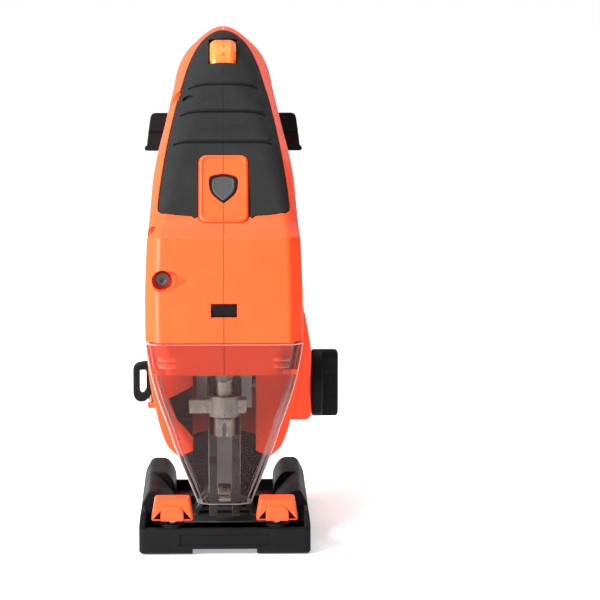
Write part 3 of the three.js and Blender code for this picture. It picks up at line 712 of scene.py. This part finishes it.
def build_casing():
    whole = outer_casing()
    cut(whole, inner_casing())
    roof = block((-31, 31), (-36, 8), (ROOF["low"], ROOF["high"]))
    cut(roof, bar("z", (0, PLUNGER_Y), 9, 70, 78))
    collar = within(front_well(6, FRONT_WELL["floor"] + 2), front_casing(0.5))
    joined(whole, roof, collar, lever_mount())
    recess = layer(-1, 1.75)
    lever_pocket = block((-45, -28.1), (-6.4, 0.4), (55.7, 75))
    trigger_slot = block((-7.2, 7.2), (-13.6, 13.6), (-12, 16), TRIGGER_FRAME)
    switch_window = block((-5.5, 5.5), (-44, -26), (97.7, 103.3))
    selector_hole = bar("x", (SELECTOR["y"], SELECTOR["z"]), 3.4, 10, 45)
    cut(
        whole,
        lever_pocket,
        front_well(FRONT_WELL["radius"], FRONT_WELL["floor"]),
        within(recess, panel_block(0.25)),
        slope_cut(pad_outline(10.9, 16.9, 4.3), -1.5, 6),
        dial_window(),
        panel_hole(),
        trigger_slot,
        *battery_room(),
        switch_window,
        selector_hole,
        lever_pin(24),
        teardrop(),
        *vents(),
        *(screw_well(y, z) for y, z in SCREWS),
    )
    run = [*JAW_RUN, *FACE_RUN, *GRIP_RUN[1:]]
    tongue = cut(casing(shrunk(run, 1.85)), casing(shrunk(run, WALL + 0.2)))
    within(tongue, block((-1.0, 1.0), (-60, 230), (0, 230)))
    within(tongue, whole, keep=True)
    for side, x in (("right", (-60, -SEAM)), ("left", (SEAM, 60))):
        half = copied(whole)
        within(half, block(x, (-60, 230), (0, 230)))
        if side == "left":
            joined(half, tongue)
        shown(half, f"casing_{side}", "housing", "orange_plastic", f"housing_{side}")
    discard(whole)


# The grooves across the rubber panel: each one's place up the panel's plane, and half its length
PANEL_GROOVES = [(114.3, 21.5), (133.9, 18.8), (153.3, 15.4)]


def band(low, high, half):
    outline = rounded([(-half, low), (half, low), (half, high), (-half, high)], (high - low) * 0.45, 4)
    return through_panel(outline)


def build_panel():
    panel = within(layer(0, 1.4), panel_block(-0.15))
    for place, half in PANEL_GROOVES:
        cut(panel, within(layer(-0.5, 0.75), band(place, place + 1.5, half)))
        joined(panel, within(layer(-0.4, 0.5), band(place + 1.9, place + 6.4, half - 1.5)))
    cut(
        panel,
        slope_cut(pad_outline(10.9, 16.9, 4.3), -6, 6),
        dial_window(),
        panel_hole(),
        *(screw_well(y, z) for y, z in SCREWS),
    )
    for side, x in (("right", (-60, -SEAM / 3)), ("left", (SEAM / 3, 60))):
        half = copied(panel)
        within(half, block(x, (-60, 230), (100, 230)))
        shown(half, f"panel_{side}", "housing", "grip_rubber", f"grip_{side}")
    discard(panel)


# ---- controls ----

def build_lock_off():
    edge = [(0, -1.2), (0, 0.3), (0.3, 0.8), (0.8, 1.1), (1.3, 1.2)]
    pad = stacked(pad_outline(10.6, 16.6, 4), edge, place=SLOPE_FRAME)
    cut(pad, slope_cut(pad_outline(9.0, 15.0, 3), 0.9, 3), slope_cut(shield(12.4, 15.4), -5, 5))
    cut(pad, slope_cut([(-SEAM, -17), (SEAM, -17), (SEAM, 17), (-SEAM, 17)], 0.6, 3))
    shown(pad, "lock_off_plate", "housing", "orange_plastic", "lock_off_pad")
    button = stacked(shield(12.0, 15.0), [(0, -4), (0, 0.1), (0.3, 0.45), (1.0, 0.5)], place=SLOPE_FRAME)
    shown(button, "lock_off_rim", "lock_off", "black_plastic", "lock_off_button")
    face = [(0, 0.3), (0, 0.7), (0.3, 0.95), (0.8, 1.0), (1.2, 0.8)]
    plate = stacked(shield(9.7, 12.4), face, place=SLOPE_FRAME)
    shown(plate, "lock_off_shield", "lock_off", "black_plastic", finish="shield_grey")


def build_dial():
    """A thumbwheel with flats round its rim, the rim bevelled at each side, and numbers on the flats."""
    flats, wheel_half = 18, DIAL["half"]
    rim = []
    for i in range(flats):
        for turn in (-0.40, 0.40):
            angle = 2 * math.pi * (i + turn) / flats
            rim.append((DIAL["y"] + DIAL["radius"] * math.cos(angle),
                        DIAL["z"] + DIAL["radius"] * math.sin(angle)))
    levels = [(1.6, -wheel_half), (0.5, 1.2 - wheel_half), (0, 2.4 - wheel_half),
              (0, wheel_half - 2.4), (0.5, wheel_half - 1.2), (1.6, wheel_half)]
    wheel = stacked(rim, levels, "x")
    cut(wheel, bar("x", (DIAL["y"], DIAL["z"]), 2.4, -8, 8))
    shown(wheel, "thumbwheel", "speed_dial", "dial_plastic", "speed_dial", degrees=12)
    degrees_a_digit, facing_digit, lean, relief, sunk = 20, 3, 32, 0.1, 0.22
    for digit in range(1, 7):
        turn = math.radians(degrees_a_digit * (digit - facing_digit))
        text = bpy.data.curves.new(f"digit_{digit}", "FONT")
        text.body = str(digit)
        text.size = 4.4 * MM
        text.extrude = relief * MM
        text.align_x, text.align_y = "CENTER", "CENTER"
        piece = bpy.data.objects.new(f"dial_digit_{digit}", text)
        bpy.context.scene.collection.objects.link(piece)
        reach = DIAL["radius"] - sunk
        centre = Matrix.Translation(Vector((0, DIAL["y"], DIAL["z"])) * MM)
        tilt = Matrix.Rotation(math.radians(lean) + turn, 4, "X")
        piece.matrix_world = centre @ tilt @ Matrix.Translation((0, 0, reach * MM))
        text.materials.append(MATERIALS["mark_red"])
        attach(piece, "speed_dial")


def build_light_switch():
    outline = rounded([(-5.1, 98), (5.1, 98), (5.1, 103), (-5.1, 103)], 0.8)
    key = prism(outline, -35.4, -28, "y", soft=0.5)
    cut(key, bar("x", (-38.6, 100.5), 3.6, -8, 8, 64))
    shown(key, "lamp_key", "light_switch", "black_plastic", "light_switch")
    lens = turned("z", (0, -31), [(0.01, 69.2), (2.4, 69.4), (3.6, 70.4), (3.6, 73), (0.01, 73)], 40)
    shown(lens, "lamp_lens", "housing", "clear_plastic", "work_light")


def build_trigger():
    side = [(-13, 10), (-13, -5), (-8, -8.2), (-3, -7), (4, -4.8), (9, -7), (12, -9.5), (13, -8), (13, 10)]
    outline = rounded(side, [1, 2, 4, 5, 5, 4, 1, 0.6, 1], 6)
    key = prism(outline, -6.6, 6.6, "x", TRIGGER_FRAME, soft=1.6)
    shown(key, "trigger_key", "trigger", "black_plastic", "trigger")


def panel_hole():
    """A blind oval hole in the right half of the rubber panel, drawn in the panel's plane."""
    oval = [(-15.4 + 2.5 * math.cos(a), 147.2 + 2.0 * math.sin(a)) for a in
            (2 * math.pi * i / 32 for i in range(32))]
    return within(through_panel(oval), layer(-1, 1.15))


def build_screws():
    for i, (y, z) in enumerate(SCREWS):
        head = bar("x", (y, z), 3.0, -15.6, -13.3, 40, soft=0.4)
        shank = bar("x", (y, z), 1.5, -14, 11, 24)
        joined(head, shank)
        recess = circle(1.35, 6, (y, z))
        cut(head, prism(recess, -17, -14.4, "x"))
        shown(head, f"casing_screw_{i + 1}", "housing", "dark_steel", f"housing_screw_{i + 1}")
    place, floor = (FRONT_WELL["x"], FRONT_WELL["z"]), FRONT_WELL["floor"]
    head = bar("y", place, 3.2, floor - 2, floor, 40, soft=0.4)
    cut(head, prism(circle(1.4, 6, place), floor - 3, floor - 0.8, "y"))
    shown(head, "gear_case_screw", "housing", "dark_steel")


# ---- selector and lever on the sides ----

def build_selector():
    y, z, r = SELECTOR["y"], SELECTOR["z"], SELECTOR["radius"]
    start, end = SELECTOR["from"], SELECTOR["to"]
    base = bar("x", (y, z), r, start, start + 4.6, 96, soft=1.0)
    wing = rounded([(y - 4.6, z - r), (y + 4.6, z - r), (y + 4.6, z + r), (y - 4.6, z + r)], 4.0, 8)
    joined(base, prism(wing, start + 2, end, "x", soft=1.5))
    pointer = block((end - 0.4, end + 1), (y - 0.5, y + 0.5), (z + r - 7, z + r - 2.5))
    cut(base, pointer)
    across, pitch = 5.9, 4.2
    for i in range(-2, 3):
        for side in (-1, 1):
            notch = bar("x", (y + side * across, z + pitch * i), 1.5, start + 5, end + 1, 20)
            cut(base, notch)
    shown(base, "selector_wheel", "selector", "black_plastic", "selector_knob")


def build_lever():
    loop = rounded([(-39.2, 58.5), (-37.3, 56.0), (-34.0, 56.0), (-29.8, 61.5), (-29.8, 73.8),
                    (-37.3, 73.0), (-39.2, 71.2)], [1.5, 1.5, 1.5, 2, 1, 1.5, 1.5])
    hole = rounded([(-36.3, 60.2), (-35.0, 59.3), (-33.5, 61.6), (-33.5, 70.2), (-36.3, 70.0)], 0.8)
    lever = prism(loop, -5.5, -0.5, "y", soft=0.8)
    cut(lever, prism(hole, -8, 3, "y"), lever_pin(32))
    shown(lever, "release_loop", "loop_lever", "black_plastic", "loop_lever")


# ---- dust cover ----

def cover_rib(side):
    """An upright rib inside one of the cover's front corners; it follows the corner's run."""
    rings = []
    for front, flat, z in ((-38.0, 7.5, 18.4), (-38.6, 16.6, 41), (-38.9, 19.4, 50), (-39.6, 23.8, 63),
                           (-40.0, 27.0, 75), (-40.5, 29.0, 86.2)):
        corners = [(flat - 0.5, front + 1), (flat + 0.5, front + 1),
                   (flat + 0.3, front + 3.2), (flat - 0.3, front + 3.2)]
        rings.append([(side * x, y, z) for x, y in corners[::side]])
    return loft(rings)


def build_cover():
    low = station((-38, 16), (30, 16), 11.3, 7.5, 2.6, 1.2, 3)
    high = station((-40.6, 90), (30, 90), 33.2, 29.0, 3.4, 1.2, 3)
    stations = smoothed(COVER, 3)
    shell = casing(stations)
    slope = [(-32, 10), (-27, 17.5), (-12, 49), (0, 49), (0, 10)]
    cut(
        shell,
        casing(shrunk([low, *stations, high], 1.8)),
        block((-50, 50), (-12, 60), (0, 100)),
        prism(slope, -40, 40, "x"),
    )
    fin = [(-39.0, 0), (-33.5, 0.6), (-33.5, 1.2), (-39.0, 1.4)]
    fins = [prism([(y, z + level) for y, z in fin], low, high, "x")
            for level in (76.5, 79.5) for low, high in ((-27.6, -20.5), (20.5, 27.6))]
    joined(shell, cover_rib(1), cover_rib(-1), *fins)
    shown(shell, "clear_cover", "dust_cover", "clear_plastic", "dust_cover")


# ---- shoe ----

def both_sides(outline, start, end, soft=0.0):
    return [prism(shape, start, end, "y", soft=soft) for shape in (outline, mirrored(outline))]


def shoe_openings():
    return [
        block((-5, 5), (-37, -18), (-5, 6)),
        block((-14, 14), (-20, -5.5), (-5, 6)),
        block((-11, 11), (11, 24), (-5, 6)),
    ]


def bevel_scale():
    """The round plate that stands on the shoe behind its arch, with a tick every five degrees."""
    side = [(22.4, 3.6), (22.4, 6.5), (13, 7.5), (16.6, 15.7), (20.8, 27.3), (20.8, 40)]
    disc = bar("y", (0, 0), BEVEL_SCALE["radius"], BEVEL_SCALE["front"], BEVEL_SCALE["rear"], 128)
    plate = within(disc, prism(side + mirrored(side), 27, 30, "y"))
    tick_top = 37
    for degrees in range(-30, 31, 5):
        length = 4 if degrees % 15 == 0 else 2.5
        tick = block((-0.3, 0.3), (29, 30), (tick_top - length, tick_top))
        tick.data.transform(Matrix.Rotation(math.radians(degrees), 4, "Y"))
        cut(plate, tick)
    return plate


def build_shoe():
    half, front, rear = SHOE["half"], SHOE["front"], SHOE["rear"]
    bumper = rounded([(-half, front), (half, front), (half, BUMPER_REAR), (-half, BUMPER_REAR)],
                     [2.2, 2.2, 0.4, 0.4])
    nose = stacked(bumper, [(0.8, 0), (0, 0.9), (0, 9.5), (0.4, 10.4), (1.3, 10.8)])
    sole = block((-half, half), (-45, rear), (0, 1.2))
    wall = rounded([(33.1, 0), (half, 0), (half, 10), (33.1, 9)], [0.2, 0.6, 0.8, 0.8], 3)
    flange = rounded([(33.3, 6), (half, 6), (half, 12), (35.1, 18), (33.3, 18)], [0.2, 0.2, 2, 0.8, 0.8], 3)
    hump = rounded([(33.1, 3.6), (33.1, 1), (half, 1), (half, 11.5), (32.5, 18.4), (25.7, 18.4),
                    (21.6, 13), (21.6, 3.6)], [0.2, 0.2, 0.3, 3, 2.2, 2.2, 4, 0.3], 5)
    rail = rounded([(33.1, 3.6), (33.1, 1), (half, 1), (half, 11.5), (32.5, 18.3), (28.5, 17.2),
                    (24, 12), (21.6, 8), (21.6, 3.6)], [0.2, 0.2, 0.3, 2, 1.6, 2, 4, 2, 0.3], 5)
    joined(
        sole, nose,
        *both_sides(wall, -40, rear),
        *both_sides(flange, front + 2, -39.4, 0.5),
        *both_sides(hump, 26, rear - 1, 0.8),
        *both_sides(rail, -10.5, 27, 0.6),
        bevel_scale(),
        block((-half, half), (57.4, rear), (0, 8), soft=0.6),
    )
    cut(
        sole,
        block((-33.2, 33.2), (front + 3, -30), (7, 20)),
        block((-13.5, 13.5), (-70, front + 9), (-2, 2.2)),
        block((-60, 60), (front + 4, -41), (2.8, 5.8)),
        block((-19, 19), (front - 4, front + 0.6), (3.4, 8.4)),
        *shoe_openings(),
    )
    for x in (-KNOB_X, KNOB_X):
        joined(sole, bar("z", (x, CLAMP_Y), 5, 6, 12, 40))
        cut(sole, bar("z", (x, CLAMP_Y), 2.3, 2.8, 30))
    shown(sole, "sole_frame", "shoe", "black_plastic", "shoe_sheath")


def build_clamps():
    low, shoulder, high = KNOB["low"], KNOB["shoulder"], KNOB["high"]
    for side, x in (("right", -KNOB_X), ("left", KNOB_X)):
        face = rounded([(x - 8.8, low), (x + 8.8, low), (x + 7.3, high), (x - 7.3, high)], 1.0, 4)
        boss = rounded([(x - 4.8, low), (x + 4.8, low), (x + 4.8, shoulder), (x - 4.8, shoulder)],
                       [0.6, 0.6, 3.5, 3.5], 6)
        knob = prism(face, CLAMP_Y - 5.5, CLAMP_Y + 5.5, "y", soft=0.9)
        joined(knob, prism(boss, CLAMP_Y - 6.6, CLAMP_Y + 6.6, "y", soft=0.6))
        cut(knob, bar("z", (x, CLAMP_Y), 2.3, 10, shoulder))
        shown(knob, f"clamp_grip_{side}", f"clamp_knob_{side}", "orange_plastic", f"clamp_knob_{side}")


# ---- battery ----

def build_battery():
    half, length, depth = PACK["half"], PACK["length"], PACK["depth"]
    middle = -9

    def pack(outline, start, end, soft):
        return prism(outline, start, end, "y", PACK_FRAME, soft)

    lower = pack(rounded([(-half, -depth), (half, -depth), (half, -depth + 2), (half - 1, -depth + 2.4),
                          (half - 1.7, middle), (-half + 1.7, middle), (-half + 1, -depth + 2.4),
                          (-half, -depth + 2)], [1.5, 1.5, 0.6, 0.6, 0.3, 0.3, 0.6, 0.6], 3),
                 0, length, 0.5)
    upper = pack(rounded([(-half + 1.7, middle), (half - 1.7, middle), (half - 3, 0),
                          (-half + 3, 0)], [0.3, 0.3, 2.4, 2.4], 5), 0, length, 0.5)
    shown(lower, "pack_base", "battery", "black_plastic", "battery_lower_shell")
    rail = block((-15.2, 15.2), (17, length - 1), (-1, 5), PACK_FRAME)
    joined(rail, block((-19.2, 19.2), (17, length - 1), (3.8, 9.4), PACK_FRAME))
    joined(upper, rail)
    cut(upper, block((-8.3, 8.3), (length - 17.3, length - 5.7), (2, 12), PACK_FRAME))
    shown(upper, "pack_top", "battery", "black_plastic", "battery_upper_shell")


# ---- CAD nodes that stay ----

NODE_SLOTS = {
    "speed_dial_axle": "bright_steel", "switch_body": "black_plastic", "control_board": "circuit_board",
    "drive_gear": "bright_steel", "gear_axle": "bright_steel", "pinion": "bright_steel",
    "motor_shaft": "bright_steel", "motor_can": "dark_steel", "armature": "copper_winding",
    "motor_bearing_front": "bright_steel", "motor_bearing_rear": "bright_steel", "fan": "black_plastic",
    "gear_plate": "cast_aluminium", "gear_case": "cast_aluminium", "plunger": "bright_steel",
    "plunger_bush": "bronze", "blade_holder": "bright_steel", "clamp_collar": "bright_steel",
    "blade_guide": "dark_steel", "guide_pivot_pin": "bright_steel", "guide_roller": "bright_steel",
    "roller_pin": "bright_steel", "selector_shaft": "bright_steel", "lever_pin": "bright_steel",
    "shoe_plate": "dark_steel", "base_bracket": "cast_aluminium", "bevel_bolt": "bright_steel",
    "clamp_screw_right": "bright_steel", "clamp_screw_left": "bright_steel",
    **{f"battery_cell_{i}": "cell_can" for i in range(1, 6)},
    "battery_latch": "black_plastic", "terminal_block": "black_plastic",
}


def dress_nodes():
    """The CAD nodes that show as they are get their finish, and small bevels on their edges."""
    weld_distance, bevel_width = 0.001, 0.2
    for name, slot in NODE_SLOTS.items():
        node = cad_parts[name]
        node.data.materials.clear()
        node.data.materials.append(MATERIALS[slot])
        weld = node.modifiers.new("weld", "WELD")
        weld.merge_threshold = weld_distance * MM
        edge = node.modifiers.new("edges", "BEVEL")
        edge.width = bevel_width * MM
        edge.segments = 2
        edge.limit_method = "ANGLE"
        edge.angle_limit = math.radians(40)


# ---- floor, light and camera ----

def build_stage():
    mesh = bpy.data.meshes.new("floor")
    reach, level = 6, -0.0006
    corners = [(-reach, -reach), (reach, -reach), (reach, reach), (-reach, reach)]
    mesh.from_pydata([(x, y, level) for x, y in corners], [], [(0, 1, 2, 3)])
    floor = bpy.data.objects.new("floor", mesh)
    bpy.context.scene.collection.objects.link(floor)
    paper = bpy.data.materials.new("floor")
    paper.use_nodes = True
    shader = paper.node_tree.nodes["Principled BSDF"]
    shader.inputs["Base Color"].default_value = (0.88, 0.88, 0.88, 1)
    shader.inputs["Roughness"].default_value = 0.8
    shader.inputs["Specular IOR Level"].default_value = 0.2
    shader.inputs["Emission Color"].default_value = (1, 1, 1, 1)
    shader.inputs["Emission Strength"].default_value = 0.38
    mesh.materials.append(paper)


def lamp(name, place, aim, size, power):
    light = bpy.data.lights.new(name, "AREA")
    light.shape = "RECTANGLE"
    light.size, light.size_y = size
    light.energy = power
    piece = bpy.data.objects.new(name, light)
    piece.location = place
    piece.rotation_euler = (Vector(aim) - Vector(place)).to_track_quat("-Z", "Y").to_euler()
    bpy.context.scene.collection.objects.link(piece)


def build_light():
    """A white room that is brighter on the left, a large key light from the left front and a rim light."""
    world = bpy.data.worlds.new("studio")
    world.use_nodes = True
    tree = world.node_tree
    sky = tree.nodes["Background"]
    place = tree.nodes.new("ShaderNodeTexCoord").outputs["Generated"]
    sky.inputs["Color"].default_value = (1, 1, 1, 1)
    side = linked(tree, "ShaderNodeSeparateXYZ", Vector=place).outputs["X"]
    tree.links.new(spread(tree, side, 1.15, 0.24, -0.7, 0.6), sky.inputs["Strength"])
    bpy.context.scene.world = world
    aim = (0, 0, 0.11)
    lamp("key", (-0.95, -0.75, 0.75), aim, (0.6, 0.6), 58)
    lamp("top", (-0.2, 0.1, 1.1), aim, (0.7, 0.5), 6)
    lamp("rim", (0.5, 0.7, 0.6), aim, (0.3, 0.6), 1.2)


def build_camera():
    """A long lens 1.34 m in front, 9 degrees above level."""
    camera = bpy.data.cameras.new("camera")
    camera.lens = 189.42
    camera.sensor_width = 36
    piece = bpy.data.objects.new("camera", camera)
    piece.location = (0, -1.342, 0.312)
    piece.rotation_euler = (math.radians(81), 0, math.radians(-1.397))
    bpy.context.scene.collection.objects.link(piece)
    bpy.context.scene.camera = piece


build_casing()
build_panel()
build_lock_off()
build_dial()
build_light_switch()
build_trigger()
build_screws()
build_selector()
build_lever()
build_cover()
build_shoe()
build_clamps()
build_battery()
dress_nodes()
build_stage()
build_light()
build_camera()
bpy.context.scene.view_settings.view_transform = "Standard"
